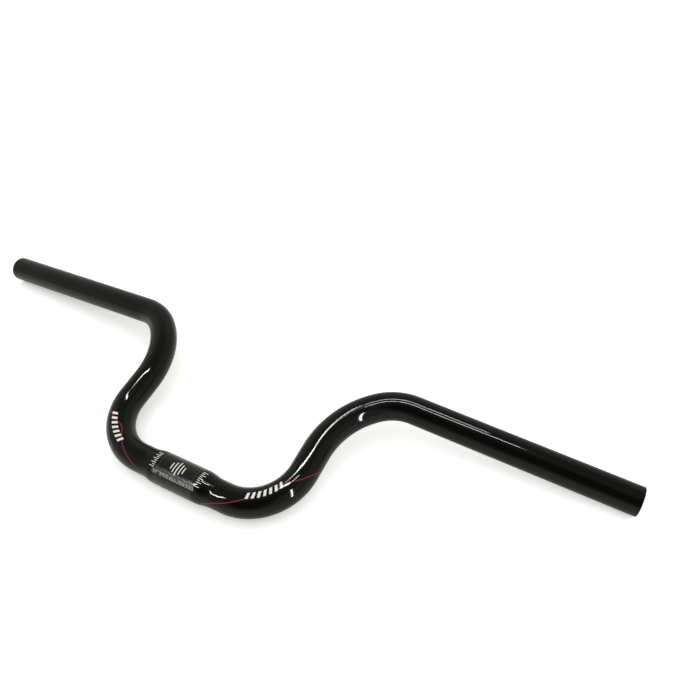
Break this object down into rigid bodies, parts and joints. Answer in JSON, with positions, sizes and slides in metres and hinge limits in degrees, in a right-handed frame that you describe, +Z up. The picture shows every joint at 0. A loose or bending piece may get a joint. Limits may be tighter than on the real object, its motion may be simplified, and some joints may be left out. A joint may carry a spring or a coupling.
{
  "type": "swallow handlebar",
  "caption": "Swallow-shaped bicycle handlebar in gloss black: a hollow tube with a thicker clamp barrel, bent up through a narrow rise and out into straight, gently back-swept grips.",
  "frame": {"origin": "centre of the clamp barrel, on its axis", "axes": "+X along the clamp barrel towards the right grip, +Y level, from the clamp towards the grips, +Z up from the surface that the bar lies on with its front face up"},
  "size_m": [0.6018, 0.1506, 0.0367],
  "materials": {
    "gloss_black_paint": "gloss black paint on aluminium, with thin crimson stripes and a fine-grained matt clamp zone"
  },
  "bodies": {
    "root": {"handlebar": "gloss_black_paint"}
  },
  "joints": []
}
